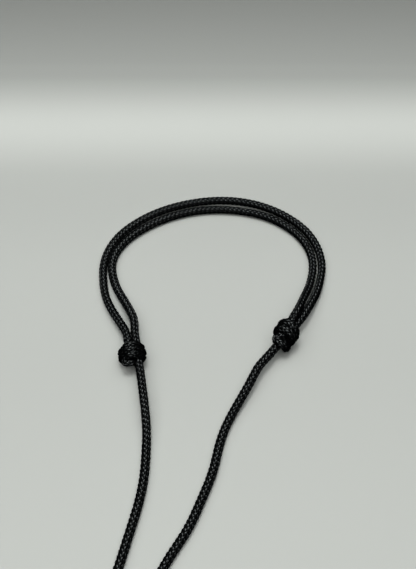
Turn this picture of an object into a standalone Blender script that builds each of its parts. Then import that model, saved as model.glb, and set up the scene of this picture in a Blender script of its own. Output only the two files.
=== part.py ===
"""Eyeglass retainer strap: two braided cords, each tied round the other with a sliding knot.

The strap lies on a table, +Z up. The loop is at the +Y end and the two temple grips are at the
-Y end. Each cord runs from its grip along a single tail, through the knot that the other cord
ties round it, round the loop beside the other cord, and ends in its own knot on that cord.
All lengths are in metres.
"""

import math

import bmesh
import bpy
import numpy as np
from mathutils import Vector

# Driving dimensions
CORD_RADIUS = 0.0020
LYING = 0.00205                 # height of the middle of a cord that lies on the table
TEMPLE_END_HEIGHT = 0.00372     # height of the middle of a grip that lies on the table
KNOT_CORD_RADIUS = 0.00145      # the cord is squeezed where it is pulled tight in a knot
FACE_GAP = 0.0003               # between solids that meet
CORD_STEP = 0.0090              # between two points of a cord's tube
KNOT_STEP = 0.0012              # between two points of a knot's tube
SQUARE_END = 0.0015             # a short last step, so that an end face is square to the cord
CORD_BEVEL_RESOLUTION = 4       # 12 sides

# The middle of the loop in the frame; it puts the origin under the middle of the whole strap
LOOP_CENTRE = Vector((-0.0020, 0.0916, 0.0))

# Knots: the middle of the bore and the direction of travel towards the tail, from the loop centre
LEFT_KNOT_CENTRE = Vector((-0.0314, -0.0422, 0.00573))
LEFT_KNOT_AXIS = Vector((0.155, -0.988, 0.0)).normalized()
RIGHT_KNOT_CENTRE = Vector((0.0348, -0.0324, 0.00512))
RIGHT_KNOT_AXIS = Vector((-0.615, -0.7885, 0.0)).normalized()
KNOT_MOUTH = 0.0093             # from the middle of the bore to where the knot's own cord comes in

# A knot holds three strands side by side. The places of the two that it ties, across the bore:
# first to the side, then up.
# The mouth strand is the lead strand where it comes in, still at its full size
BORE_STRAND = (0.0, 0.0)
MOUTH_STRAND = (0.0041, -0.0013)
LEAD_STRAND = (0.00375, -0.0012)
TAIL_STRAND = (0.0030, 0.00245)
BORE_BAND_RADIUS = 0.00365      # middle of a turn from the middle of the strand in the bore
TIED_BAND_RADIUS = 0.00310      # middle of a turn from the middle of a tied strand

# The straight and level stretch of cord that a knot travels on, from the middle of its bore
TRAVEL_STOPS = (0.0195, 0.0130, 0.0065, 0.0, -0.0065, -0.0130)
LEAD_LENGTH = 0.0500            # last stretch of each cord, which gives way as its knot slides

# Routes of the two tails, from the grip to the straight stretch, from the loop centre
LEFT_TAIL = (
    (-0.0430, -0.2080, TEMPLE_END_HEIGHT),
    (-0.0430, -0.1995, TEMPLE_END_HEIGHT),
    (-0.0430, -0.1915, TEMPLE_END_HEIGHT),
    (-0.0429, -0.1840, 0.0032),
    (-0.0423, -0.1760, 0.0023),
    (-0.0411, -0.1670, LYING),
    (-0.0385, -0.1525, LYING),
    (-0.0350, -0.1385, LYING),
    (-0.0313, -0.1240, LYING),
    (-0.0281, -0.1105, LYING),
    (-0.0265, -0.0985, LYING),
    (-0.0262, -0.0885, 0.0021),
    (-0.0263, -0.0790, 0.0033),
    (-0.0271, -0.0705, 0.0051),
)
RIGHT_TAIL = (
    (-0.0226, -0.2080, TEMPLE_END_HEIGHT),
    (-0.0238, -0.1996, TEMPLE_END_HEIGHT),
    (-0.0250, -0.1916, TEMPLE_END_HEIGHT),
    (-0.0260, -0.1840, 0.0032),
    (-0.0263, -0.1760, 0.0023),
    (-0.0257, -0.1670, LYING),
    (-0.0234, -0.1550, LYING),
    (-0.0194, -0.1432, LYING),
    (-0.0143, -0.1335, LYING),
    (-0.0080, -0.1229, LYING),
    (-0.0026, -0.1103, LYING),
    (0.0020, -0.0977, LYING),
    (0.0051, -0.0845, LYING),
    (0.0082, -0.0755, 0.0022),
    (0.0119, -0.0681, 0.0030),
    (0.0157, -0.0613, 0.0040),
    (0.0194, -0.0543, 0.0049),
)

# Routes round the loop, from the straight stretch to the cord's own knot, from the loop centre
INNER_STRAND = (
    (-0.0338, -0.0234, 0.0055),
    (-0.0359, -0.0169, 0.0046),
    (-0.0390, -0.0104, 0.0034),
    (-0.0424, -0.0034, 0.0025),
    (-0.0451, 0.0045, LYING),
    (-0.0459, 0.0130, LYING),
    (-0.0437, 0.0211, LYING),
    (-0.0381, 0.0294, LYING),
    (-0.0309, 0.0358, LYING),
    (-0.0206, 0.0418, LYING),
    (-0.0080, 0.0461, LYING),
    (0.0045, 0.0475, LYING),
    (0.0170, 0.0464, LYING),
    (0.0290, 0.0428, LYING),
    (0.0385, 0.0369, LYING),
    (0.0453, 0.0294, LYING),
    (0.0492, 0.0208, LYING),
    (0.0503, 0.0110, 0.0021),
    (0.0490, 0.0022, 0.0029),
    (0.0475, -0.0035, 0.0043),
    (0.0456, -0.0094, 0.0063),
    (0.0437, -0.0160, 0.0083),
)
OUTER_STRAND = (
    (0.0456, -0.0174, 0.0048),
    (0.0487, -0.0111, 0.0037),
    (0.0514, -0.0050, 0.0027),
    (0.0534, 0.0020, 0.0021),
    (0.0548, 0.0108, LYING),
    (0.0536, 0.0222, LYING),
    (0.0490, 0.0324, LYING),
    (0.0423, 0.0400, LYING),
    (0.0328, 0.0468, LYING),
    (0.0195, 0.0520, LYING),
    (0.0050, 0.0534, LYING),
    (-0.0100, 0.0512, LYING),
    (-0.0240, 0.0460, LYING),
    (-0.0357, 0.0383, LYING),
    (-0.0432, 0.0306, LYING),
    (-0.0486, 0.0211, LYING),
    (-0.0508, 0.0105, LYING),
    (-0.0501, 0.0015, LYING),
    (-0.0482, -0.0072, 0.0022),
    (-0.0452, -0.0143, 0.0029),
    (-0.0415, -0.0207, 0.0036),
    (-0.0382, -0.0266, 0.0043),
)

# Temple ends
GRIP_LENGTH = 0.0380
GRIP_NECK_RADIUS = 0.0030
GRIP_BODY_RADIUS = 0.0037
GRIP_MOUTH_RADIUS = 0.0034
TEMPLE_BORE_RADIUS = 0.0019
TEMPLE_BORE_DEPTH = 0.0260
CORD_SOCKET_RADIUS = 0.0023
CORD_SOCKET_DEPTH = 0.0080
CRIMP_LENGTH = 0.0070
CRIMP_RADIUS = 0.0030
CRIMP_GROOVE_DEPTH = 0.0003
EDGE_ROUNDING = 0.0004
TURNED_STEPS = 24


def clear_scene():
    """Remove whatever the open file holds."""
    for item in list(bpy.data.objects):
        bpy.data.objects.remove(item, do_unlink=True)


def material(name, colour, roughness, metallic=0.0):
    """A plain Principled material."""
    result = bpy.data.materials.new(name)
    result.use_nodes = True
    shader = result.node_tree.nodes["Principled BSDF"]
    shader.inputs["Base Color"].default_value = (*colour, 1.0)
    shader.inputs["Roughness"].default_value = roughness
    shader.inputs["Metallic"].default_value = metallic
    return result


def smooth_curve(points, step):
    """Points every step along the natural cubic spline through the given points."""
    route = np.array([tuple(point) for point in points])
    chords = np.linalg.norm(np.diff(route, axis=0), axis=1)
    places = np.concatenate(([0.0], np.cumsum(chords)))
    count = len(route)
    matrix = np.eye(count)
    right = np.zeros((count, 3))
    for i in range(1, count - 1):
        before, after = chords[i - 1], chords[i]
        matrix[i, i - 1:i + 2] = before / 6, (before + after) / 3, after / 6
        right[i] = (route[i + 1] - route[i]) / after - (route[i] - route[i - 1]) / before
    bends = np.linalg.solve(matrix, right)
    fine = []
    for i in range(count - 1):
        chord = chords[i]
        for part in np.linspace(0.0, 1.0, 24, endpoint=False):
            low, high = (1 - part), part
            bend = (low ** 3 - low) * bends[i] + (high ** 3 - high) * bends[i + 1]
            fine.append(low * route[i] + high * route[i + 1] + chord ** 2 / 6 * bend)
    fine.append(route[-1])
    return even_points(np.array(fine), step)


def even_points(points, step):
    """The same line with evenly spaced points, about step apart."""
    lengths = np.concatenate(([0.0], np.cumsum(np.linalg.norm(np.diff(points, axis=0), axis=1))))
    count = max(2, round(lengths[-1] / step) + 1)
    stations = np.linspace(0.0, lengths[-1], count)
    return np.stack([np.interp(stations, lengths, points[:, k]) for k in range(3)], axis=1)


def stretch_of(points, start, end, step):
    """The part of a line between two lengths from its first point, with square ends."""
    fine = even_points(points, step / 12)
    lengths = np.concatenate(([0.0], np.cumsum(np.linalg.norm(np.diff(fine, axis=0), axis=1))))
    count = max(2, round((end - start) / step) + 1)
    inner = np.linspace(start, end, count)[1:-1]
    stations = [start, start + SQUARE_END, *inner, end - SQUARE_END, end]
    return np.stack([np.interp(stations, lengths, fine[:, k]) for k in range(3)], axis=1)


def length_of(points):
    """Length along a line of points."""
    return float(np.linalg.norm(np.diff(points, axis=0), axis=1).sum())


def tube(name, points, radius, finish):
    """A round cord with flat ends along the given points, which are from the loop centre."""
    curve = bpy.data.curves.new(name, "CURVE")
    curve.dimensions = "3D"
    curve.bevel_depth = radius
    curve.bevel_resolution = CORD_BEVEL_RESOLUTION
    curve.use_fill_caps = True
    curve.resolution_u = 1
    curve.render_resolution_u = 0
    spline = curve.splines.new("POLY")
    spline.points.add(len(points) - 1)
    for place, point in zip(spline.points, points):
        place.co = (*(Vector(point) + LOOP_CENTRE), 1.0)
    spline.use_smooth = True
    result = bpy.data.objects.new(name, curve)
    curve.materials.append(finish)
    bpy.context.scene.collection.objects.link(result)
    return result


class KnotFrame:
    """Places in a knot: along the bore towards the tail, across it, and up, then rolled."""

    def __init__(self, centre, axis, roll):
        self.centre = centre
        self.axis = axis
        outward = Vector((0.0, 0.0, 1.0)).cross(axis) * -1.0
        self.across = outward * math.cos(roll) + Vector((0.0, 0.0, 1.0)) * math.sin(roll)
        self.up = Vector((0.0, 0.0, 1.0)) * math.cos(roll) - outward * math.sin(roll)

    def place(self, along, across, up):
        """A point in the strap's frame, from the loop centre."""
        return self.centre + self.axis * along + self.across * across + self.up * up


def band_outline():
    """One turn pulled tight round the three strands in a knot, as (across, up) points."""
    strands = (
        (BORE_STRAND, BORE_BAND_RADIUS),
        (LEAD_STRAND, TIED_BAND_RADIUS),
        (TAIL_STRAND, TIED_BAND_RADIUS),
    )
    outline = []
    for degree in range(-18, 342, 6):
        angle = math.radians(degree)
        normal = (math.cos(angle), math.sin(angle))
        centre, radius = max(
            strands,
            key=lambda strand: strand[0][0] * normal[0] + strand[0][1] * normal[1] + strand[1],
        )
        outline.append((centre[0] + radius * normal[0], centre[1] + radius * normal[1], 0.0))
    outline.append(outline[0])
    return even_points(np.array(outline), 0.0003)


def knot_route(turns, pitch):
    """The tied cord's route in a knot as (along, across, up) points.

    It runs in beside the strand in the bore, turns up at the tail end, wraps back round all
    three strands, and its end goes in under its own turns and comes out at the tail end.
    """
    outline = band_outline()
    reach = turns * pitch / 2
    lead, tail = LEAD_STRAND, TAIL_STRAND
    route = [(-KNOT_MOUTH, *MOUTH_STRAND)]
    route += [(place, *lead) for place in (-0.0060, -0.0040, -0.0020)]
    route += [(place, *lead) for place in (0.0005, reach - 0.0023)]
    route += [
        (reach - 0.0007, lead[0] + 0.0004, lead[1] - 0.0004),
        (reach + 0.0008, lead[0] + 0.0015, lead[1] - 0.0008),
        (reach + 0.0014, lead[0] + 0.0028, lead[1] + 0.0003),
        (reach + 0.0006, lead[0] + 0.0033, lead[1] + 0.0022),
    ]
    steps_per_turn = 12
    for step in range(2, steps_per_turn * turns):
        part = step / steps_per_turn
        across, up, _ = outline[round((part % 1.0) * (len(outline) - 1))]
        route.append((reach - pitch * part, across, up))
    route += [
        (-reach - 0.0006, tail[0] + 0.0038, tail[1] - 0.0025),
        (-reach - 0.0014, tail[0] + 0.0025, tail[1] - 0.0003),
        (-reach - 0.0006, tail[0] + 0.0009, tail[1] + 0.0006),
    ]
    route += [(place, *tail) for place in (-reach + 0.0016, -0.0005, 0.0022, reach + 0.0014)]
    return route


def knot_points(frame, turns, pitch):
    """Points along a knot's cord, from the loop centre."""
    route = [frame.place(*place) for place in knot_route(turns, pitch)]
    return smooth_curve(route, KNOT_STEP)


def cord_points(tail, centre, axis, loop, mouth):
    """Points along a whole cord, from its grip to the mouth of its own knot."""
    straight = [centre + axis * stop for stop in TRAVEL_STOPS]
    return smooth_curve([*tail, *straight, *loop, *mouth], CORD_STEP / 4)


def mouth_points(frame):
    """The end of a cord's route, where it comes into its own knot."""
    return [frame.place(place, *MOUTH_STRAND) for place in (-KNOT_MOUTH - 0.0050, -KNOT_MOUTH)]


def turned(name, profile, start, direction, finish):
    """A piece turned about a line, from (along, radius) points of its closed half section."""
    mesh = bpy.data.meshes.new(name)
    shape = bmesh.new()
    corners = [shape.verts.new((radius, 0.0, along)) for along, radius in profile]
    loop = list(zip(corners, corners[1:]))
    if profile[0][1] > 0.0:
        loop.append((corners[-1], corners[0]))
    edges = [shape.edges.new(pair) for pair in loop]
    bmesh.ops.spin(
        shape, geom=corners + edges, cent=(0, 0, 0), axis=(0, 0, 1),
        angle=math.tau, steps=TURNED_STEPS, use_merge=True,
    )
    bmesh.ops.remove_doubles(shape, verts=shape.verts, dist=1e-6)
    bmesh.ops.recalc_face_normals(shape, faces=shape.faces)
    shape.to_mesh(mesh)
    shape.free()
    mesh.shade_smooth()
    mesh.set_sharp_from_angle(angle=math.radians(35))
    mesh.materials.append(finish)
    result = bpy.data.objects.new(name, mesh)
    result.rotation_mode = "QUATERNION"
    result.rotation_quaternion = direction.to_track_quat("Z", "Y")
    result.location = start
    bpy.context.scene.collection.objects.link(result)
    return result


def grip(name, start, direction, finish):
    """A soft sleeve: a socket for the cord at its neck and a bore for the temple at its mouth."""
    bore_floor = GRIP_LENGTH - TEMPLE_BORE_DEPTH
    profile = [
        (CORD_SOCKET_DEPTH, 0.0),
        (CORD_SOCKET_DEPTH, CORD_SOCKET_RADIUS),
        (0.0, CORD_SOCKET_RADIUS),
        (0.0, GRIP_NECK_RADIUS - EDGE_ROUNDING),
        (EDGE_ROUNDING, GRIP_NECK_RADIUS),
        (0.25 * GRIP_LENGTH, 0.5 * (GRIP_NECK_RADIUS + GRIP_BODY_RADIUS)),
        (0.50 * GRIP_LENGTH, GRIP_BODY_RADIUS),
        (0.75 * GRIP_LENGTH, 0.5 * (GRIP_MOUTH_RADIUS + GRIP_BODY_RADIUS)),
        (GRIP_LENGTH - EDGE_ROUNDING, GRIP_MOUTH_RADIUS),
        (GRIP_LENGTH, GRIP_MOUTH_RADIUS - EDGE_ROUNDING),
        (GRIP_LENGTH, TEMPLE_BORE_RADIUS),
        (bore_floor, TEMPLE_BORE_RADIUS),
        (bore_floor, 0.0),
    ]
    return turned(name, profile, start, direction, finish)


def crimp(name, start, direction, finish):
    """A short metal sleeve pressed onto the cord in two grooves."""
    groove = CRIMP_RADIUS - CRIMP_GROOVE_DEPTH
    profile = [
        (0.0, CORD_SOCKET_RADIUS),
        (0.0, CRIMP_RADIUS - EDGE_ROUNDING),
        (EDGE_ROUNDING, CRIMP_RADIUS),
        (0.22 * CRIMP_LENGTH, CRIMP_RADIUS),
        (0.30 * CRIMP_LENGTH, groove),
        (0.38 * CRIMP_LENGTH, CRIMP_RADIUS),
        (0.62 * CRIMP_LENGTH, CRIMP_RADIUS),
        (0.70 * CRIMP_LENGTH, groove),
        (0.78 * CRIMP_LENGTH, CRIMP_RADIUS),
        (CRIMP_LENGTH - EDGE_ROUNDING, CRIMP_RADIUS),
        (CRIMP_LENGTH, CRIMP_RADIUS - EDGE_ROUNDING),
        (CRIMP_LENGTH, CORD_SOCKET_RADIUS),
    ]
    return turned(name, profile, start, direction, finish)


def temple_end(side, cord, silicone, steel):
    """The crimp and the grip on the end of a cord, in line with its last stretch."""
    outward = Vector(cord[0] - cord[2])
    outward.z = 0.0
    outward.normalize()
    tip = Vector(cord[0]) + LOOP_CENTRE
    neck = tip - outward * (CORD_SOCKET_DEPTH - FACE_GAP)
    crimp_start = neck - outward * (CRIMP_LENGTH + FACE_GAP)
    crimp(f"{side}_crimp", crimp_start, outward, steel)
    grip(f"{side}_temple_grip", neck, outward, silicone)


def cord_with_lead(name, points, finish):
    """A cord's long fixed stretch and the lead that gives way as its knot slides."""
    total = length_of(points)
    cut = total - LEAD_LENGTH
    tube(name, stretch_of(points, 0.0, cut, CORD_STEP), CORD_RADIUS, finish)
    lead = stretch_of(points, cut + FACE_GAP, total - FACE_GAP, CORD_STEP / 1.5)
    tube(f"{name}_lead", lead, CORD_RADIUS, finish)


def build():
    """Make the whole strap."""
    clear_scene()
    nylon = material("black_nylon_braid", (0.012, 0.013, 0.014), 0.62)
    silicone = material("black_silicone", (0.02, 0.02, 0.021), 0.5)
    steel = material("plated_steel", (0.55, 0.55, 0.56), 0.3, 1.0)

    left_frame = KnotFrame(LEFT_KNOT_CENTRE, LEFT_KNOT_AXIS, 0.0)
    right_frame = KnotFrame(RIGHT_KNOT_CENTRE, RIGHT_KNOT_AXIS, math.radians(82))
    left_cord = cord_points(
        LEFT_TAIL, LEFT_KNOT_CENTRE, LEFT_KNOT_AXIS, INNER_STRAND, mouth_points(right_frame))
    right_cord = cord_points(
        RIGHT_TAIL, RIGHT_KNOT_CENTRE, RIGHT_KNOT_AXIS, OUTER_STRAND, mouth_points(left_frame))

    cord_with_lead("left_cord", left_cord, nylon)
    cord_with_lead("right_cord", right_cord, nylon)
    tube("left_knot", knot_points(left_frame, 3, 0.0033), KNOT_CORD_RADIUS, nylon)
    tube("right_knot", knot_points(right_frame, 2, 0.0050), KNOT_CORD_RADIUS, nylon)
    temple_end("left", left_cord, silicone, steel)
    temple_end("right", right_cord, silicone, steel)


build()
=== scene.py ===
"""Looks of the eyeglass retainer strap: two black braided cords, their sliding knots and temple ends.

Every cord is built yarn by yarn: twelve flat yarns, six each way, braided two over and two under
round a dark core. The knots are the same braid, pulled tight. Lengths are in metres, except where a
comment gives another unit.
"""

import math

import bpy
import numpy as np
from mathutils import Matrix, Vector


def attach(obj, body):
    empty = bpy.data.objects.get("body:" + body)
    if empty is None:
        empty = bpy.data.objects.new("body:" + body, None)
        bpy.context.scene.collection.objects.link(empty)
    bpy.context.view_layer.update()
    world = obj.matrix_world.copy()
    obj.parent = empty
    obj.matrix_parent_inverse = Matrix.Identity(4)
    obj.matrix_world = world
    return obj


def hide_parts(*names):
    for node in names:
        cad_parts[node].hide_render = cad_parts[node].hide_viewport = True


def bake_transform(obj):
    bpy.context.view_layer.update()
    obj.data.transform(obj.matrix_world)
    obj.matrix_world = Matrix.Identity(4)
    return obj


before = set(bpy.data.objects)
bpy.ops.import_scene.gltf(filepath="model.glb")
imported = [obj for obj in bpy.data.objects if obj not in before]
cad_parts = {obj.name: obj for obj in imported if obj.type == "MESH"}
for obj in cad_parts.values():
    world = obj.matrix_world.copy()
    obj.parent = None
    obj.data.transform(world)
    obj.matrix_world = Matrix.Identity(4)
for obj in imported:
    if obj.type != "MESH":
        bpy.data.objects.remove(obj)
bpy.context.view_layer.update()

# ---------------------------------------------------------------- the cords' routes

LYING = 0.00205                 # height of a cord's middle where it lies on the table
TEMPLE_END_HEIGHT = 0.00372     # height of its middle in the temple end, which is thicker
LEAD_LENGTH = 0.0500            # stretch of each cord just before its knot
LOOP_CENTRE = np.array([-0.0020, 0.0916, 0.0])

# Knots: the middle of the bore and the direction of travel towards the tail, from the loop centre
LEFT_KNOT_CENTRE = Vector((-0.0314, -0.0422, 0.00573))
LEFT_KNOT_AXIS = Vector((0.155, -0.988, 0.0)).normalized()
RIGHT_KNOT_CENTRE = Vector((0.0348, -0.0324, 0.00512))
RIGHT_KNOT_AXIS = Vector((-0.615, -0.7885, 0.0)).normalized()
# The straight and level stretch of cord that a knot travels on, from the middle of its bore
TRAVEL_STOPS = (0.0195, 0.0130, 0.0065, 0.0, -0.0065, -0.0130)

# The tails, each from its temple end to the knot that grips it, from the loop centre
LEFT_TAIL = (
    (-0.0430, -0.2080, TEMPLE_END_HEIGHT),
    (-0.0430, -0.1995, TEMPLE_END_HEIGHT),
    (-0.0430, -0.1915, TEMPLE_END_HEIGHT),
    (-0.0429, -0.1840, 0.0032),
    (-0.0423, -0.1760, 0.0023),
    (-0.0411, -0.1670, LYING),
    (-0.0385, -0.1525, LYING),
    (-0.0350, -0.1385, LYING),
    (-0.0313, -0.1240, LYING),
    (-0.0281, -0.1105, LYING),
    (-0.0265, -0.0985, LYING),
    (-0.0262, -0.0885, 0.0021),
    (-0.0263, -0.0790, 0.0033),
    (-0.0271, -0.0705, 0.0051),
)
RIGHT_TAIL = (
    (-0.0226, -0.2080, TEMPLE_END_HEIGHT),
    (-0.0238, -0.1996, TEMPLE_END_HEIGHT),
    (-0.0250, -0.1916, TEMPLE_END_HEIGHT),
    (-0.0260, -0.1840, 0.0032),
    (-0.0263, -0.1760, 0.0023),
    (-0.0257, -0.1670, LYING),
    (-0.0234, -0.1550, LYING),
    (-0.0194, -0.1432, LYING),
    (-0.0143, -0.1335, LYING),
    (-0.0080, -0.1229, LYING),
    (-0.0026, -0.1103, LYING),
    (0.0020, -0.0977, LYING),
    (0.0051, -0.0845, LYING),
    (0.0082, -0.0755, 0.0022),
    (0.0119, -0.0681, 0.0030),
    (0.0157, -0.0613, 0.0040),
    (0.0194, -0.0543, 0.0049),
)
# The strands round the loop, each from that knot to the one that its own cord ties, from the loop
# centre. They keep to the CAD's routes, to within a millimetre.
INNER_STRAND = (
    (-0.0340, -0.0234, 0.0055),
    (-0.0363, -0.0169, 0.0046),
    (-0.0394, -0.0104, 0.0034),
    (-0.0428, -0.0034, 0.0025),
    (-0.0454, 0.0045, LYING),
    (-0.0463, 0.0130, LYING),
    (-0.0440, 0.0211, LYING),
    (-0.0381, 0.0294, LYING),
    (-0.0308, 0.0356, LYING),
    (-0.0206, 0.0416, LYING),
    (-0.0080, 0.0459, LYING),
    (0.0045, 0.0473, LYING),
    (0.0170, 0.0462, LYING),
    (0.0289, 0.0426, LYING),
    (0.0384, 0.0367, LYING),
    (0.0453, 0.0294, LYING),
    (0.0495, 0.0208, LYING),
    (0.0506, 0.0110, 0.0021),
    (0.0491, 0.0022, 0.0029),
    (0.0475, -0.0035, 0.0042),
    (0.0453, -0.0094, 0.0062),
    (0.0428, -0.0160, 0.0083),
)
OUTER_STRAND = (
    (0.0456, -0.0174, 0.0048),
    (0.0487, -0.0111, 0.0037),
    (0.0514, -0.0050, 0.0027),
    (0.0534, 0.0020, 0.0021),
    (0.0549, 0.0108, LYING),
    (0.0536, 0.0222, LYING),
    (0.0490, 0.0324, LYING),
    (0.0423, 0.0400, LYING),
    (0.0328, 0.0468, LYING),
    (0.0195, 0.0520, LYING),
    (0.0050, 0.0534, LYING),
    (-0.0100, 0.0512, LYING),
    (-0.0240, 0.0460, LYING),
    (-0.0357, 0.0383, LYING),
    (-0.0432, 0.0306, LYING),
    (-0.0483, 0.0211, LYING),
    (-0.0504, 0.0105, LYING),
    (-0.0499, 0.0015, LYING),
    (-0.0482, -0.0072, 0.0022),
    (-0.0454, -0.0143, 0.0029),
    (-0.0420, -0.0207, 0.0036),
    (-0.0387, -0.0266, 0.0043),
)

# ---------------------------------------------------------------- lines of points

SPLINE_PARTS = 24               # straight parts between one point of a route and the next


def length_of(points):
    """Length along a line of points."""
    return float(np.linalg.norm(np.diff(points, axis=0), axis=1).sum())


def even_points(points, step):
    """The same line with evenly spaced points, about step apart."""
    lengths = np.concatenate(([0.0], np.cumsum(np.linalg.norm(np.diff(points, axis=0), axis=1))))
    count = max(2, round(lengths[-1] / step) + 1)
    stations = np.linspace(0.0, lengths[-1], count)
    return np.stack([np.interp(stations, lengths, points[:, k]) for k in range(3)], axis=1)


def spline_bends(route, chords):
    """Second derivatives at the points of a natural cubic spline, none at its two ends."""
    count = len(route)
    matrix = np.eye(count)
    right = np.zeros((count, 3))
    for i in range(1, count - 1):
        before, after = chords[i - 1], chords[i]
        matrix[i, i - 1:i + 2] = before / 6, (before + after) / 3, after / 6
        right[i] = (route[i + 1] - route[i]) / after - (route[i] - route[i - 1]) / before
    return np.linalg.solve(matrix, right)


def smooth_curve(points, step):
    """Points every step along the natural cubic spline through the given points."""
    route = np.array([tuple(point) for point in points])
    chords = np.linalg.norm(np.diff(route, axis=0), axis=1)
    bends = spline_bends(route, chords)
    fine = []
    for i, chord in enumerate(chords):
        for high in np.linspace(0.0, 1.0, SPLINE_PARTS, endpoint=False):
            low = 1 - high
            bend = (low ** 3 - low) * bends[i] + (high ** 3 - high) * bends[i + 1]
            fine.append(low * route[i] + high * route[i + 1] + chord ** 2 / 6 * bend)
    fine.append(route[-1])
    return even_points(np.array(fine), step)


def eased(part):
    """0 to 1 with a level start and end."""
    part = np.clip(part, 0.0, 1.0)
    return part * part * (3 - 2 * part)


def unit_rows(vectors):
    """The same directions, a unit long."""
    return vectors / np.maximum(np.linalg.norm(vectors, axis=1), 1e-9)[:, None]


# ---------------------------------------------------------------- how the knots are tied

# A place in a knot is a distance along its bore towards the tail, then to the left and up. In the
# right knot the last two are turned about the bore: the second is mostly up, and the third mostly to
# the right.
RIGHT_KNOT_ROLL = math.radians(115)
RIGHT_KNOT_MIDDLE = (0.0013, -0.0006)   # of its strands: the second and third of such a place
LEFT_KNOT_MIDDLE = (0.0027, 0.0005)

# The right knot: its cord runs in over the other one to the tail end. It goes round both cords there,
# then twice more on its way back, and its end is tucked in underneath at the loop end. These places
# are in millimetres.
RIGHT_KNOT_ROUTE = (
    (-14.3, 2.7, -4.3), (-9.3, 2.75, -3.5), (-7.8, 2.8, -3.2), (-5.6, 2.8, -2.6), (-3.7, 2.8, -2.1),
    (-1.9, 2.8, -1.8), (-0.2, 2.8, -1.7), (1.3, 2.7, -1.9), (2.6, 2.3, -2.5), (3.8, 1.7, -3.1),
    (4.9, 1.8, -2.7), (5.4, 2.9, -1.5), (5.4, 3.7, 0.2), (5.0, 3.5, 2.0), (4.3, 2.2, 3.5),
    (3.5, 0.3, 4.1), (2.7, -1.5, 3.5), (1.7, -2.8, 1.8), (0.9, -3.3, -0.5), (0.4, -2.5, -2.9),
    (0.1, -0.5, -4.5), (0.0, 1.9, -5.1), (0.0, 4.2, -4.4), (-0.1, 5.8, -2.6), (-0.2, 6.1, -0.5),
    (-0.1, 5.3, 1.5), (0.2, 3.4, 3.1), (0.3, 1.0, 3.7), (-0.3, -1.3, 3.2), (-1.1, -2.7, 1.6),
    (-1.9, -3.3, -0.6), (-2.5, -2.6, -2.9), (-2.9, -0.8, -4.7), (-3.1, 1.5, -5.4), (-3.4, 4.2, -5.0),
    (-3.7, 6.0, -3.3), (-3.7, 6.4, -1.0), (-3.3, 5.5, 1.2), (-2.9, 3.6, 2.8), (-2.6, 1.4, 3.6),
    (-2.4, -0.8, 3.3), (-2.3, -2.0, 2.6),
)

LEFT_KNOT_MOUTH = 0.0093        # from the middle of its bore to where its own cord comes in
LEFT_KNOT_TURNS = 3
LEFT_KNOT_PITCH = 0.0026
LEFT_KNOT_SHIFT = -0.0007       # of its turns, from the middle of the knot
LEFT_KNOT_SWELL = (1.02, 0.22)  # its middle turn's size, and how much smaller the ends are
STEPS_PER_TURN = 12
OUTLINE_STEP = 0.0003           # between two points round a turn
OUTLINE_FIRST_DEGREE = -18      # where a turn starts
OUTLINE_DEGREES = 6             # between two points of it, before they are spaced evenly
# The left knot's three strands, across the bore, and how far round each of them the turns lie
GRIPPED_CORD = (0.0, 0.0)
LEFT_LEAD = (0.0042, -0.0008)
LEFT_TUCKED_END = (0.0026, 0.0024)
LEFT_BANDS = (0.0024, 0.0032, 0.0027)

# How much of its full size a knot's cord keeps: out from the middle of the knot, and along its bore
LEFT_KNOT_SQUEEZE = (0.84, 0.78)
RIGHT_KNOT_SQUEEZE = (0.80, 0.98)
SQUEEZE_START = 0.0005          # before the cord comes into the knot
SQUEEZE_REACH = 0.0050          # from there to where it is squeezed most

# How far each braid is turned about its own line: (metres along the cord, degrees)
LEFT_CORD_TWIST = ((0.0, -15.0), (0.115, -15.0), (0.135, -45.0), (0.175, -45.0), (0.25, 0.0))
RIGHT_CORD_TWIST = ((0.0, -15.0), (0.16, -15.0), (0.23, 20.0))


class KnotFrame:
    """Places in a knot: along the bore towards the tail, to the left, and up, then rolled."""

    def __init__(self, centre, axis, roll, middle):
        self.centre = centre
        self.axis = axis
        self.middle = middle
        upright = Vector((0.0, 0.0, 1.0))
        leftward = upright.cross(axis) * -1.0
        self.across = leftward * math.cos(roll) + upright * math.sin(roll)
        self.up = upright * math.cos(roll) - leftward * math.sin(roll)

    def place(self, along, across, up):
        """A place in the knot, from the loop centre."""
        return self.centre + self.axis * along + self.across * across + self.up * up

    def outward(self, points):
        """Unit directions out from the middle of the knot's strands, square to its bore."""
        middle = np.array(self.place(0.0, *self.middle))
        axis = np.array(self.axis)
        away = points - middle
        return unit_rows(away - np.outer(away @ axis, axis))


def turn_outline():
    """One turn pulled tight round the three strands in the left knot."""
    strands = tuple(zip((GRIPPED_CORD, LEFT_LEAD, LEFT_TUCKED_END), LEFT_BANDS))
    outline = []
    for degree in range(OUTLINE_FIRST_DEGREE, OUTLINE_FIRST_DEGREE + 360, OUTLINE_DEGREES):
        angle = math.radians(degree)
        normal = (math.cos(angle), math.sin(angle))
        centre, radius = max(
            strands,
            key=lambda strand: strand[0][0] * normal[0] + strand[0][1] * normal[1] + strand[1],
        )
        outline.append((centre[0] + radius * normal[0], centre[1] + radius * normal[1], 0.0))
    outline.append(outline[0])
    return even_points(np.array(outline), OUTLINE_STEP)


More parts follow.
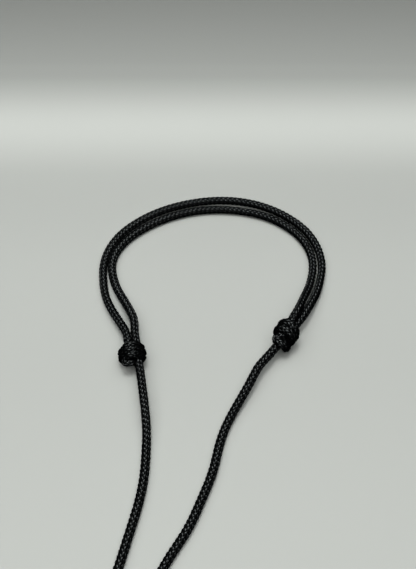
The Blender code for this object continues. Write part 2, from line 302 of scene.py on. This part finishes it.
def left_knot_turns():
    """The left knot's turns, from the tail end back to the loop end, largest in the middle."""
    outline = turn_outline()
    reach = LEFT_KNOT_TURNS * LEFT_KNOT_PITCH / 2
    middle = LEFT_KNOT_MIDDLE
    turns = []
    # The cord turns back in the first two steps, so they aren't part of the turns
    for step in range(2, STEPS_PER_TURN * LEFT_KNOT_TURNS):
        part = step / STEPS_PER_TURN
        across, up, _ = outline[round((part % 1.0) * (len(outline) - 1))]
        along = reach - LEFT_KNOT_PITCH * part
        swell = LEFT_KNOT_SWELL[0] - LEFT_KNOT_SWELL[1] * (along / reach) ** 2
        turns.append((along + LEFT_KNOT_SHIFT, middle[0] + (across - middle[0]) * swell,
                      middle[1] + (up - middle[1]) * swell))
    return turns


def left_knot_route():
    """The right cord's route in the left knot: in beside the other cord, round both, and tucked in."""
    reach = LEFT_KNOT_TURNS * LEFT_KNOT_PITCH / 2
    lead, tucked = LEFT_LEAD, LEFT_TUCKED_END
    way_in = [
        (-0.0143, 0.0041, -0.0013),
        (-LEFT_KNOT_MOUTH, 0.0037, -0.0013),
        (-0.0070, 0.0036, -0.0011),
        (-0.0040, *lead),
        (-0.0015, *lead),
    ]
    turned_back = [
        (0.0006, 0.0033, -0.0004),
        (0.0026, 0.0029, 0.0003),
        (0.0041, 0.0033, 0.0008),
        (0.0044, 0.0048, 0.0009),
        (0.0037, 0.0064, 0.0012),
    ]
    tucked_in = [
        (-reach - 0.0005, tucked[0] + 0.0024, tucked[1] - 0.0016),
        (-reach - 0.0003, tucked[0] + 0.0010, tucked[1] - 0.0001),
        (-0.0015, *tucked),
        (0.0005, *tucked),
        (0.0020, *tucked),
    ]
    return way_in + turned_back + left_knot_turns() + tucked_in


def right_knot_route():
    """The left cord's route in the right knot, in metres."""
    return [tuple(distance / 1000 for distance in place) for place in RIGHT_KNOT_ROUTE]


# ---------------------------------------------------------------- the braid

CARRIERS = 6                    # yarns each way
PICK = 0.00228                  # along the cord, from one yarn to the next that runs the same way
LAY = CARRIERS * PICK
YARN_WIDTH = 0.00160
YARN_THICKNESS = 0.00070
YARN_DIVE = 0.00066             # how much deeper a yarn lies under the others than over them
CROWN_FLATNESS = 1.7            # how level a yarn lies before it changes from over to under
CROWN_SPREAD = 0.05             # how much wider it is over the others, and narrower under them
BRAID_RADIUS = 0.00205          # over the crowns, which lie a little proud of the cord's size
YARN_RADIUS = BRAID_RADIUS - YARN_THICKNESS / 2
CORE_RADIUS = 0.00105
BRAID_ANGLE = math.atan(math.tau * (YARN_RADIUS - YARN_DIVE / 2) / LAY)
BRAID_STEP = 0.00042            # between two rings of a yarn
CORE_EVERY = 3                  # a ring of the core at every third ring of the yarns
CORE_SIDES = 12
# A yarn's section, flat below and crowned above: across its width, then out from the cord
YARN_SECTION = (
    (-1.0, -0.35), (-0.62, 0.55), (0.0, 1.0), (0.62, 0.55), (1.0, -0.35), (0.45, -1.0), (-0.45, -1.0),
)


class Cord:
    """A whole cord: its tail, its strand of the loop, its lead and the knot that it ties."""

    def __init__(self, tail, centre, axis, loop, knot, route, squeeze, twist):
        straight = [centre + axis * stop for stop in TRAVEL_STOPS]
        into_knot = [knot.place(*place) for place in route]
        run = smooth_curve([*tail, *straight, *loop, *into_knot[:2]], BRAID_STEP)
        tied = smooth_curve(into_knot[1:], BRAID_STEP)
        self.points = even_points(np.concatenate((run, tied[1:])), BRAID_STEP)
        self.step = length_of(self.points) / (len(self.points) - 1)
        self.lead_start = round((length_of(run) - LEAD_LENGTH) / self.step)
        self.knot_start = round(length_of(run) / self.step)
        self.tangents = np.gradient(self.points, axis=0)
        self.tangents /= np.linalg.norm(self.tangents, axis=1)[:, None]
        self.across = self.untwisted()
        self.up = np.cross(self.tangents, self.across)
        self.set_squeeze(knot, squeeze)
        lengths = np.arange(len(self.points)) * self.step
        self.twist = np.interp(lengths, [place for place, _ in twist],
                               [math.radians(degrees) for _, degrees in twist])

    def untwisted(self):
        """A direction square to the line at every point, which doesn't turn about it."""
        across = np.empty_like(self.points)
        first = np.cross((0.0, 0.0, 1.0), self.tangents[0])
        across[0] = first / np.linalg.norm(first)
        for i in range(1, len(self.points)):
            level = across[i - 1] - (across[i - 1] @ self.tangents[i]) * self.tangents[i]
            across[i] = level / np.linalg.norm(level)
        return across

    def set_squeeze(self, knot, squeeze):
        """The cord's section: full and round along the run, flattened where it is tied."""
        outward = knot.outward(self.points)
        outward -= (outward * self.tangents).sum(1)[:, None] * self.tangents
        self.outward = unit_rows(outward)
        along = (np.arange(len(self.points)) - self.knot_start) * self.step
        tight = eased((along + SQUEEZE_START) / SQUEEZE_REACH)
        self.deep = (squeeze[0] - 1.0) * tight
        self.wide = (squeeze[1] - 1.0) * tight

    def surface(self, stations, angle, radius, shift):
        """Points at an angle round the cord and a distance from its middle, moved along it."""
        across, up, tangents, outward = (
            line[stations][:, None] for line in (self.across, self.up, self.tangents, self.outward))
        side = np.cross(tangents, outward)
        out = np.cos(angle)[..., None] * across + np.sin(angle)[..., None] * up
        deeper = self.deep[stations][:, None] * (out * outward).sum(-1)
        wider = self.wide[stations][:, None] * (out * side).sum(-1)
        out = out + deeper[..., None] * outward + wider[..., None] * side
        middle = self.points[stations][:, None] + shift[..., None] * tangents
        return middle + radius[..., None] * out + LOOP_CENTRE

    def path(self, first, last):
        """The middle line of a stretch of the cord, from its first point to its last."""
        return self.points[first:last + 1] + LOOP_CENTRE


def wave(turns):
    """+1 where a yarn lies over the others and -1 where it lies under, flat in between."""
    return np.tanh(CROWN_FLATNESS * np.cos(math.pi / 2 * (turns - 0.5))) / math.tanh(CROWN_FLATNESS)


def laid_yarn(cord, stations, way, number):
    """One yarn's points, ring by ring, and at each a mark: along it, across it, which yarn."""
    lengths = stations * cord.step
    section = np.array(YARN_SECTION)
    own = math.tau * number / CARRIERS + way * math.tau * lengths / LAY
    over = way * wave(own * CARRIERS / math.pi)
    middle = YARN_RADIUS - YARN_DIVE * (1 - over) / 2
    width = YARN_WIDTH / 2 * (1 + CROWN_SPREAD * over)
    across = section[None, :, 0] * width[:, None]
    radius = middle[:, None] + section[None, :, 1] * YARN_THICKNESS / 2
    angle = (own + cord.twist[stations])[:, None] + across * math.cos(BRAID_ANGLE) / middle[:, None]
    shift = -way * across * math.sin(BRAID_ANGLE)
    places = cord.surface(stations, angle, radius, shift)
    marks = np.empty_like(places)
    marks[..., 0] = lengths[:, None] / math.cos(BRAID_ANGLE)
    marks[..., 1] = section[:, 0]
    marks[..., 2] = number + (way + 1) * CARRIERS / 2
    return places.reshape(-1, 3), marks.reshape(-1, 3)


def core_tube(cord, stations):
    """The core's points, ring by ring."""
    rings = np.unique(np.append(stations[::CORE_EVERY], stations[-1]))
    angle = np.broadcast_to(np.arange(CORE_SIDES) * math.tau / CORE_SIDES, (len(rings), CORE_SIDES))
    places = cord.surface(rings, angle, np.full(angle.shape, CORE_RADIUS), np.zeros(angle.shape))
    return places.reshape(-1, 3)


def tube_faces(rings, sides, offset):
    """Quads between rings of points, and a face over each end."""
    start = np.arange(rings - 1)[:, None] * sides + offset
    here = np.arange(sides)[None, :]
    after = (here + 1) % sides
    quads = np.stack((start + here, start + after, start + sides + after, start + sides + here), -1)
    faces = quads.reshape(-1, 4).tolist()
    faces.append([offset + i for i in reversed(range(sides))])
    faces.append([offset + (rings - 1) * sides + i for i in range(sides)])
    return faces


def mesh_object(name, places, faces, looks, slots=None, marks=None):
    """A smooth-shaded mesh from points and faces, with a yarn mark at every point if given."""
    mesh = bpy.data.meshes.new(name)
    mesh.from_pydata(places.tolist(), [], faces)
    for look in looks:
        mesh.materials.append(look)
    if slots is not None:
        mesh.polygons.foreach_set("material_index", slots)
    if marks is not None:
        layer = mesh.attributes.new("yarn", "FLOAT_VECTOR", "POINT")
        layer.data.foreach_set("vector", marks.astype(np.float32).ravel())
    mesh.shade_smooth()
    mesh.update()
    result = bpy.data.objects.new(name, mesh)
    bpy.context.scene.collection.objects.link(result)
    return result


def braid(name, cord, first, last, yarn_look, core_look):
    """A stretch of braided cord, its yarns one by one over a core, as one mesh."""
    stations = np.arange(first, last + 1)
    places, marks, faces = [], [], []
    count = 0
    for way in (1, -1):
        for number in range(CARRIERS):
            yarn_places, yarn_marks = laid_yarn(cord, stations, way, number)
            places.append(yarn_places)
            marks.append(yarn_marks)
            faces += tube_faces(len(stations), len(YARN_SECTION), count)
            count += len(yarn_places)
    slots = [0] * len(faces)
    core_places = core_tube(cord, stations)
    places.append(core_places)
    marks.append(np.zeros_like(core_places))
    core_faces = tube_faces(len(core_places) // CORE_SIDES, CORE_SIDES, count)
    slots += [1] * len(core_faces)
    return mesh_object(name, np.concatenate(places), faces + core_faces, (yarn_look, core_look), slots,
                       np.concatenate(marks))


# ---------------------------------------------------------------- materials


class Nodes:
    """A material's node tree, with short calls to add to it."""

    def __init__(self, name):
        self.material = bpy.data.materials.new(name)
        self.material.use_nodes = True
        self.tree = self.material.node_tree
        self.shader = self.tree.nodes["Principled BSDF"]

    def add(self, kind, **values):
        """A new node with its settings."""
        node = self.tree.nodes.new(kind)
        for key, value in values.items():
            setattr(node, key, value)
        return node

    def link(self, source, target):
        """Joins a node's output to another's input."""
        self.tree.links.new(source, target)

    def yarn_mark(self):
        """The mark that every point of a braid carries."""
        return self.add("ShaderNodeAttribute", attribute_name="yarn").outputs["Vector"]

    def object_place(self):
        """A point's place in its own object."""
        return self.add("ShaderNodeTexCoord").outputs["Object"]

    def stretched(self, source, scale):
        """Places scaled by a different number each way."""
        node = self.add("ShaderNodeMapping")
        node.inputs["Scale"].default_value = scale
        self.link(source, node.inputs["Vector"])
        return node.outputs["Vector"]

    def noise(self, source, scale, detail=2.0):
        """Cloudy noise, with the given number of bumps in each unit of its source."""
        node = self.add("ShaderNodeTexNoise")
        node.inputs["Scale"].default_value = scale
        node.inputs["Detail"].default_value = detail
        self.link(source, node.inputs["Vector"])
        return node.outputs["Fac"]

    def ramp(self, source, low, high, from_low=0.3, from_high=0.7):
        """A value spread evenly from low to high."""
        node = self.add("ShaderNodeMapRange")
        node.inputs["From Min"].default_value = from_low
        node.inputs["From Max"].default_value = from_high
        node.inputs["To Min"].default_value = low
        node.inputs["To Max"].default_value = high
        self.link(source, node.inputs["Value"])
        return node.outputs["Result"]

    def weighted(self, source, weight, added):
        """A value times its weight, plus another value."""
        node = self.add("ShaderNodeMath", operation="MULTIPLY_ADD")
        self.link(source, node.inputs[0])
        node.inputs[1].default_value = weight
        self.link(added, node.inputs[2])
        return node.outputs[0]

    def colours(self, source, dark, light):
        """A colour between two, by a value."""
        node = self.add("ShaderNodeMix", data_type="RGBA")
        node.inputs[6].default_value = (*dark, 1.0)
        node.inputs[7].default_value = (*light, 1.0)
        self.link(source, node.inputs[0])
        return node.outputs[2]

    def bump(self, source, distance, strength):
        """Fine relief of a height in metres, by a value."""
        node = self.add("ShaderNodeBump")
        node.inputs["Strength"].default_value = strength
        node.inputs["Distance"].default_value = distance
        self.link(source, node.inputs["Height"])
        return node.outputs["Normal"]


def nylon_yarn():
    """Black nylon multifilament: fine filaments along each yarn, a soft shine on the crowns."""
    look = Nodes("nylon_yarn")
    mark = look.yarn_mark()
    filaments = look.noise(look.stretched(mark, (700.0, 6.0, 9.0)), 1.0, 3.0)
    yarn_tone = look.noise(look.stretched(mark, (60.0, 0.3, 17.0)), 1.0, 1.0)
    tone = look.weighted(filaments, 0.6, look.ramp(yarn_tone, 0.0, 0.4))
    colour = look.colours(look.ramp(tone, 0.0, 1.0, 0.3, 0.8),
                          (0.0003, 0.0004, 0.0004), (0.0014, 0.0017, 0.0017))
    look.link(colour, look.shader.inputs["Base Color"])
    look.link(look.ramp(filaments, 0.24, 0.37), look.shader.inputs["Roughness"])
    look.shader.inputs["Specular IOR Level"].default_value = 0.38
    look.link(look.bump(filaments, 0.00006, 0.6), look.shader.inputs["Normal"])
    return look.material


def braid_core():
    """The dull, dark core that shows between the yarns."""
    look = Nodes("braid_core")
    grain = look.noise(look.object_place(), 2500.0)
    look.link(look.colours(grain, (0.0006, 0.0006, 0.0006), (0.002, 0.002, 0.002)),
              look.shader.inputs["Base Color"])
    look.shader.inputs["Roughness"].default_value = 0.9
    look.shader.inputs["Specular IOR Level"].default_value = 0.1
    return look.material


def silicone():
    """Black silicone rubber: matt, faintly mottled, with a fine moulded grain."""
    look = Nodes("silicone")
    place = look.object_place()
    mottle = look.noise(place, 260.0, 3.0)
    grain = look.noise(place, 5200.0, 2.0)
    look.link(look.colours(mottle, (0.010, 0.010, 0.011), (0.020, 0.020, 0.021)),
              look.shader.inputs["Base Color"])
    look.link(look.ramp(mottle, 0.46, 0.62), look.shader.inputs["Roughness"])
    look.shader.inputs["Specular IOR Level"].default_value = 0.4
    look.link(look.bump(grain, 0.00002, 0.35), look.shader.inputs["Normal"])
    return look.material


def crimped_steel():
    """Steel drawn and turned to a ferrule: fine marks round it, and a little wear."""
    look = Nodes("steel")
    place = look.object_place()
    drawn = look.noise(look.stretched(place, (60.0, 1500.0, 60.0)), 3.0, 3.0)
    wear = look.noise(place, 420.0, 4.0)
    look.link(look.colours(wear, (0.58, 0.58, 0.59), (0.72, 0.72, 0.73)),
              look.shader.inputs["Base Color"])
    look.shader.inputs["Metallic"].default_value = 0.85
    look.link(look.ramp(wear, 0.30, 0.46), look.shader.inputs["Roughness"])
    look.link(look.bump(drawn, 0.00001, 0.4), look.shader.inputs["Normal"])
    return look.material


# Painted light and shade on the table from front to back: a painted brighter band behind the strap and
# painted shade beyond it where the light falls off: (place in depth, part of its full tone)
TABLE_PAINTED_LIGHT = (
    (-0.05, 0.82), (0.03, 0.77), (0.10, 0.75), (0.165, 0.72), (0.197, 0.90), (0.2177, 0.80),
    (0.2373, 0.58), (0.2526, 0.505), (0.31, 0.365),
)
TABLE_FRONT = TABLE_PAINTED_LIGHT[0][0]
TABLE_BACK = TABLE_PAINTED_LIGHT[-1][0]
TABLE_COLOUR = (0.607, 0.632, 0.594)


def table_look():
    """Pale matt table with painted light: a lighter band behind the strap, and painted shade beyond it
    where the light falls off.
    """
    look = Nodes("pale_table")
    place = look.add("ShaderNodeNewGeometry").outputs["Position"]
    split = look.add("ShaderNodeSeparateXYZ")
    look.link(place, split.inputs[0])
    # The table's colour follows its depth: painted light and shade, not a tone of the table itself
    depth = look.ramp(split.outputs["Y"], 0.0, 1.0, TABLE_FRONT, TABLE_BACK)
    tones = look.add("ShaderNodeValToRGB")
    tones.color_ramp.interpolation = "CARDINAL"
    stops = tones.color_ramp.elements
    while len(stops) < len(TABLE_PAINTED_LIGHT):
        stops.new(0.5)
    for stop, (far, tone) in zip(stops, TABLE_PAINTED_LIGHT):
        stop.position = (far - TABLE_FRONT) / (TABLE_BACK - TABLE_FRONT)
        stop.color = (*(tone * part for part in TABLE_COLOUR), 1.0)
    look.link(depth, tones.inputs[0])
    look.link(tones.outputs["Color"], look.shader.inputs["Base Color"])
    look.shader.inputs["Roughness"].default_value = 0.7
    look.shader.inputs["Specular IOR Level"].default_value = 0.2
    return look.material


# ---------------------------------------------------------------- camera, light and table

CAMERA_PITCH = math.radians(53)     # below the horizon
CAMERA_DISTANCE = 0.4762
CAMERA_LENS = 63.27                 # millimetres, on a frame 36 mm high
CAMERA_TARGET = Vector((LOOP_CENTRE[0], LOOP_CENTRE[1], 0.002))
WHITE = (1.0, 1.0, 1.0)
TABLE_HALF = 3.0                    # from the table's middle to each side


def make_camera():
    """The camera at the angle of the picture, looking down at the loop from the tails' side."""
    data = bpy.data.cameras.new("camera")
    data.lens = CAMERA_LENS
    data.sensor_width = 36.0
    data.clip_start = 0.01
    data.clip_end = 20.0
    camera = bpy.data.objects.new("camera", data)
    back = Vector((0.0, -math.cos(CAMERA_PITCH), math.sin(CAMERA_PITCH)))
    camera.location = CAMERA_TARGET + back * CAMERA_DISTANCE
    camera.rotation_euler = (math.pi / 2 - CAMERA_PITCH, 0.0, 0.0)
    bpy.context.scene.collection.objects.link(camera)
    bpy.context.scene.camera = camera


def make_backdrop():
    """A pale backdrop past the table, which neither lights the strap nor shines in it."""
    world = bpy.data.worlds.new("studio")
    bpy.context.scene.world = world
    world.use_nodes = True
    background = world.node_tree.nodes["Background"]
    background.inputs["Color"].default_value = (0.82, 0.86, 0.84, 1.0)
    background.inputs["Strength"].default_value = 0.30
    world.cycles_visibility.diffuse = False
    world.cycles_visibility.glossy = False


def area_light(name, place, target, size, power, colour):
    """A rectangular lamp of a width and height in metres and a power in watts, facing its target."""
    data = bpy.data.lights.new(name, "AREA")
    data.shape = "RECTANGLE"
    data.size, data.size_y = size
    data.energy = power
    data.color = colour
    light = bpy.data.objects.new(name, data)
    light.location = place
    light.rotation_mode = "QUATERNION"
    light.rotation_quaternion = (Vector(target) - Vector(place)).to_track_quat("-Z", "Y")
    bpy.context.scene.collection.objects.link(light)
    return light


def make_lights():
    """A softbox in a white room, and two panels that only show as reflections."""
    softbox = area_light("softbox", place=(-0.06, 0.18, 0.90), target=(0.0, 0.08, 0.0),
                         size=(0.38, 0.30), power=3.5, colour=WHITE)
    # The white room round the softbox lights the table and softens the shadows
    room = area_light("room", place=(-0.10, 0.10, 1.20), target=(0.0, 0.10, 0.0),
                      size=(2.4, 2.4), power=24.4, colour=WHITE)
    for light in (softbox, room):
        light.visible_glossy = False
    # What the nylon's crowns and the steel mirror: broad, cool panels above and on the near side
    above = area_light("panel_above", place=(-0.06, 0.08, 0.90), target=(0.0, 0.08, 0.0),
                       size=(0.50, 0.52), power=8.0, colour=(0.925, 1.0, 0.99))
    front = area_light("panel_in_front", place=(0.10, -0.70, 0.80), target=(0.0, 0.08, 0.0),
                       size=(1.0, 0.6), power=1.7, colour=(0.90, 1.0, 1.0))
    for light in (above, front):
        light.visible_diffuse = False


def make_table():
    """The pale table. It lights the cords from below, but they don't mirror it, so they stay dark."""
    half = TABLE_HALF
    floor = mesh_object(
        "table_top",
        np.array([(-half, -half, 0.0), (half, -half, 0.0), (half, half, 0.0), (-half, half, 0.0)]),
        [(0, 1, 2, 3)], (table_look(),))
    floor.visible_glossy = False


make_camera()
make_backdrop()
make_lights()
make_table()
bpy.context.scene.view_settings.view_transform = "Standard"

# ---------------------------------------------------------------- the cords and their knots


def cord_pieces(side, cord, knot_side, yarn_look, core_look):
    """A cord's three pieces: the fixed run, the lead before the knot, and the knot that slides."""
    other = f"{knot_side}_knot"
    end = len(cord.points) - 1
    run = braid(f"{side}_cord_braid", cord, 0, cord.lead_start, yarn_look, core_look)
    lead = braid(f"{side}_lead_braid", cord, cord.lead_start, cord.knot_start, yarn_look, core_look)
    knot = braid(f"{knot_side}_knot_braid", cord, cord.knot_start, end, yarn_look, core_look)
    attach(run, "root")
    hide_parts(f"{side}_cord")
    lead_path = cord.path(cord.lead_start, cord.knot_start)
    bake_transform(lead)
    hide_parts(f"{side}_cord_lead")
    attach(knot, other)
    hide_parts(other)
    run_path = cord.path(0, cord.lead_start)


def make_cords():
    """Both cords. Each runs through the knot on its own side and ties the other one."""
    left_frame = KnotFrame(LEFT_KNOT_CENTRE, LEFT_KNOT_AXIS, 0.0, LEFT_KNOT_MIDDLE)
    right_frame = KnotFrame(RIGHT_KNOT_CENTRE, RIGHT_KNOT_AXIS, RIGHT_KNOT_ROLL, RIGHT_KNOT_MIDDLE)
    yarn_look = nylon_yarn()
    core_look = braid_core()
    left_cord = Cord(LEFT_TAIL, LEFT_KNOT_CENTRE, LEFT_KNOT_AXIS, INNER_STRAND, right_frame,
                     right_knot_route(), RIGHT_KNOT_SQUEEZE, LEFT_CORD_TWIST)
    right_cord = Cord(RIGHT_TAIL, RIGHT_KNOT_CENTRE, RIGHT_KNOT_AXIS, OUTER_STRAND, left_frame,
                      left_knot_route(), LEFT_KNOT_SQUEEZE, RIGHT_CORD_TWIST)
    cord_pieces("left", left_cord, "right", yarn_look, core_look)
    cord_pieces("right", right_cord, "left", yarn_look, core_look)


make_cords()

# ---------------------------------------------------------------- temple ends

TURNED_SIDES = 64
CORNER_STEPS = 4
CORNER_SHARE = 0.45                 # most of a straight part that a rounding takes
FACE_GAP = 0.0003                   # between a face of the crimp or cord and the one it meets

GRIP_LENGTH = 0.038
GRIP_NECK_RADIUS = 0.0030
GRIP_BODY_RADIUS = 0.0037
GRIP_MOUTH_RADIUS = 0.0034
GRIP_WIDEST = 0.0150                # from the neck
GRIP_STEP = 0.00022                 # between two rings of its side
GRIP_SIDE = (0.0014, 0.0008)        # where its side starts, from the mouth, and ends, from the neck
GRIP_EDGES = (0.0012, 0.0007)       # how far its mouth and its neck reach along that side
GRIP_ROUNDING = (0.0005, 0.0004)    # of the corners at its mouth and its neck
TEMPLE_BORE_RADIUS = 0.0019
TEMPLE_BORE_DEPTH = 0.026
CORD_SOCKET_RADIUS = 0.0023
CORD_SOCKET_DEPTH = 0.008
RIB_PITCH = 0.0019
RIBS = 5
RIB_DEPTH = 0.00028
FIRST_RIB = 0.0030
LIP_LENGTH = 0.0016
LIP_DEPTH = 0.00018
LIP_GROOVE = 0.8                    # width of the groove behind the lip, in lengths of the lip
PARTING_LINE = 0.00007              # how far it stands proud
PARTING_WIDTH = 0.045               # as a part of the grip's radius
PLAIN_MOUTH = 0.001                 # length at the mouth without a parting line

CRIMP_LENGTH = 0.007
CRIMP_RADIUS = 0.0030
CRIMP_BORE_RADIUS = 0.00215
CRIMP_STEP = 0.0001                 # between two rings of its side
CRIMP_SIDE = 0.0007                 # from each end to where its side starts
CRIMP_EDGE = 0.0006                 # how far each end reaches along that side
CRIMP_ROUNDING = 0.0004
CRIMP_SEAM = 0.0002                 # between the first and last ring, in the middle of its bore
GROOVE_PLACES = (0.22, 0.78)        # parts of its length
GROOVE_DEPTH = 0.0003
GROOVE_WIDTH = 0.00030
DENTS = 4
DENT_DEPTH = 0.00032
DENT_WIDTH = 0.0010
BORE_MARGIN = 0.0001                # a ring that lies this far below the grooves is in the bore


def rounded(outline, radius):
    """An open outline with its corners rounded, as (along, radius) points."""
    result = [outline[0]]
    for before, corner, after in zip(outline, outline[1:], outline[2:]):
        corner = np.array(corner)
        arms = []
        for other in (before, after):
            arm = np.array(other) - corner
            reach = np.linalg.norm(arm)
            arms.append(arm / reach * min(radius, CORNER_SHARE * reach))
        for step in range(CORNER_STEPS + 1):
            part = step / CORNER_STEPS
            result.append(tuple(corner + arms[0] * (1 - part) ** 2 + arms[1] * part ** 2))
    return result + [outline[-1]]


def ring_faces(start, following):
    """Quads between one ring of a turned solid and the following one."""
    faces = []
    for i in range(TURNED_SIDES):
        j = (i + 1) % TURNED_SIDES
        faces.append((start + i, start + j, following + j, following + i))
    return faces


def turned(name, start, axis, outline, look, relief):
    """A solid of revolution from an outline that starts and ends on the axis, or a closed ring."""
    axis = np.array(axis)
    side = np.cross((0.0, 0.0, 1.0), axis)
    up = np.cross(axis, side)
    closed = outline[0][1] > 0.0
    rings = [place for place in outline if place[1] > 0.0]
    turn = np.arange(TURNED_SIDES) * math.tau / TURNED_SIDES
    places = []
    for along, radius in rings:
        out = radius + np.array([relief(along, radius, angle) for angle in turn])
        ring = (np.array(start) + axis * along
                + out[:, None] * (np.cos(turn)[:, None] * side + np.sin(turn)[:, None] * up))
        places.extend(ring.tolist())
    faces = []
    count = len(rings)
    for ring in range(count if closed else count - 1):
        faces += ring_faces(ring * TURNED_SIDES, (ring + 1) % count * TURNED_SIDES)
    if not closed:
        for ring, pole in ((0, outline[0][0]), (count - 1, outline[-1][0])):
            centre = len(places)
            places.append((np.array(start) + axis * pole).tolist())
            base = ring * TURNED_SIDES
            for i in range(TURNED_SIDES):
                edge = (base + i, base + (i + 1) % TURNED_SIDES)
                faces.append((centre, *(edge if ring else edge[::-1])))
    return mesh_object(name, np.array(places), faces, (look,))


def grip_radius(along):
    """The grip's outer radius: it swells from its neck, narrows to its mouth, and has ribs."""
    rise = eased(along / GRIP_WIDEST)
    fall = eased((along - GRIP_WIDEST) / (GRIP_LENGTH - GRIP_WIDEST))
    radius = (GRIP_NECK_RADIUS + (GRIP_BODY_RADIUS - GRIP_NECK_RADIUS) * rise
              - (GRIP_BODY_RADIUS - GRIP_MOUTH_RADIUS) * fall)
    rib = (along - FIRST_RIB) / RIB_PITCH
    if 0.0 <= rib <= RIBS:
        radius -= RIB_DEPTH * (0.5 - 0.5 * math.cos(math.tau * rib)) ** 2
    lip = (GRIP_LENGTH - along) / LIP_LENGTH
    if 1.0 <= lip <= 1.0 + LIP_GROOVE:
        radius -= LIP_DEPTH * math.sin(math.pi * (lip - 1.0) / LIP_GROOVE) ** 2
    return radius


def grip_outline():
    """From the bottom of the temple bore, out of it, back over the grip, and into the cord socket."""
    bore_end = GRIP_LENGTH - TEMPLE_BORE_DEPTH
    mouth_edge = GRIP_LENGTH - GRIP_EDGES[0]
    neck_edge = GRIP_EDGES[1]
    mouth = [(bore_end, 0.0), (bore_end, TEMPLE_BORE_RADIUS), (GRIP_LENGTH, TEMPLE_BORE_RADIUS),
             (GRIP_LENGTH, GRIP_MOUTH_RADIUS), (mouth_edge, grip_radius(mouth_edge))]
    side = [(along, grip_radius(along))
            for along in np.arange(GRIP_LENGTH - GRIP_SIDE[0], GRIP_SIDE[1], -GRIP_STEP)]
    neck = [(neck_edge, grip_radius(neck_edge)), (0.0, GRIP_NECK_RADIUS), (0.0, CORD_SOCKET_RADIUS),
            (CORD_SOCKET_DEPTH, CORD_SOCKET_RADIUS), (CORD_SOCKET_DEPTH, 0.0)]
    return rounded(mouth, GRIP_ROUNDING[0]) + side + rounded(neck, GRIP_ROUNDING[1])


def grip_relief(along, radius, angle):
    """The fine parting line that a two-part mould leaves along each side."""
    if radius < GRIP_NECK_RADIUS - RIB_DEPTH or along > GRIP_LENGTH - PLAIN_MOUTH:
        return 0.0
    across = abs(math.sin(angle))
    return PARTING_LINE * (math.exp(-(across / PARTING_WIDTH) ** 2) - 1.0)


def crimp_outline():
    """The ferrule's wall, out along its bore and back over its outside, with its grooves."""
    inside = [(CRIMP_LENGTH / 2, CRIMP_BORE_RADIUS), (CRIMP_LENGTH, CRIMP_BORE_RADIUS),
              (CRIMP_LENGTH, CRIMP_RADIUS), (CRIMP_LENGTH - CRIMP_EDGE, CRIMP_RADIUS)]
    outside = []
    for along in np.arange(CRIMP_LENGTH - CRIMP_SIDE, CRIMP_SIDE, -CRIMP_STEP):
        near = min(abs(along - CRIMP_LENGTH * part) for part in GROOVE_PLACES)
        outside.append((along, CRIMP_RADIUS - GROOVE_DEPTH * math.exp(-(near / GROOVE_WIDTH) ** 2)))
    back = [(CRIMP_EDGE, CRIMP_RADIUS), (0.0, CRIMP_RADIUS), (0.0, CRIMP_BORE_RADIUS),
            (CRIMP_LENGTH / 2 - CRIMP_SEAM, CRIMP_BORE_RADIUS)]
    return rounded(inside, CRIMP_ROUNDING) + outside + rounded(back, CRIMP_ROUNDING)


def crimp_relief(along, radius, angle):
    """Four dents where the ferrule is pressed onto the cord."""
    if radius < CRIMP_RADIUS - GROOVE_DEPTH - BORE_MARGIN:
        return 0.0
    middle = math.exp(-((along - CRIMP_LENGTH / 2) / DENT_WIDTH) ** 4)
    return -DENT_DEPTH * middle * (0.5 + 0.5 * math.cos(DENTS * angle)) ** 2


def temple_end(side, tail, rubber, metal):
    """One cord's end: its crimp and the sleeve that takes the temple of the glasses."""
    outward = np.array(tail[0]) - np.array(tail[2])
    outward[2] = 0.0
    outward /= np.linalg.norm(outward)
    neck = np.array(tail[0]) + LOOP_CENTRE - outward * (CORD_SOCKET_DEPTH - FACE_GAP)
    grip = turned(f"{side}_temple_sleeve", neck, outward, grip_outline(), rubber, grip_relief)
    start = neck - outward * (CRIMP_LENGTH + FACE_GAP)
    crimp = turned(f"{side}_ferrule", start, outward, crimp_outline(), metal, crimp_relief)
    for piece, stands_for, slot in ((grip, f"{side}_temple_grip", "silicone"),
                                    (crimp, f"{side}_crimp", "steel")):
        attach(piece, "root")
        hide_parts(stands_for)


def make_temple_ends():
    """Both temple ends, of the same rubber and steel."""
    rubber = silicone()
    metal = crimped_steel()
    temple_end("left", LEFT_TAIL, rubber, metal)
    temple_end("right", RIGHT_TAIL, rubber, metal)


make_temple_ends()
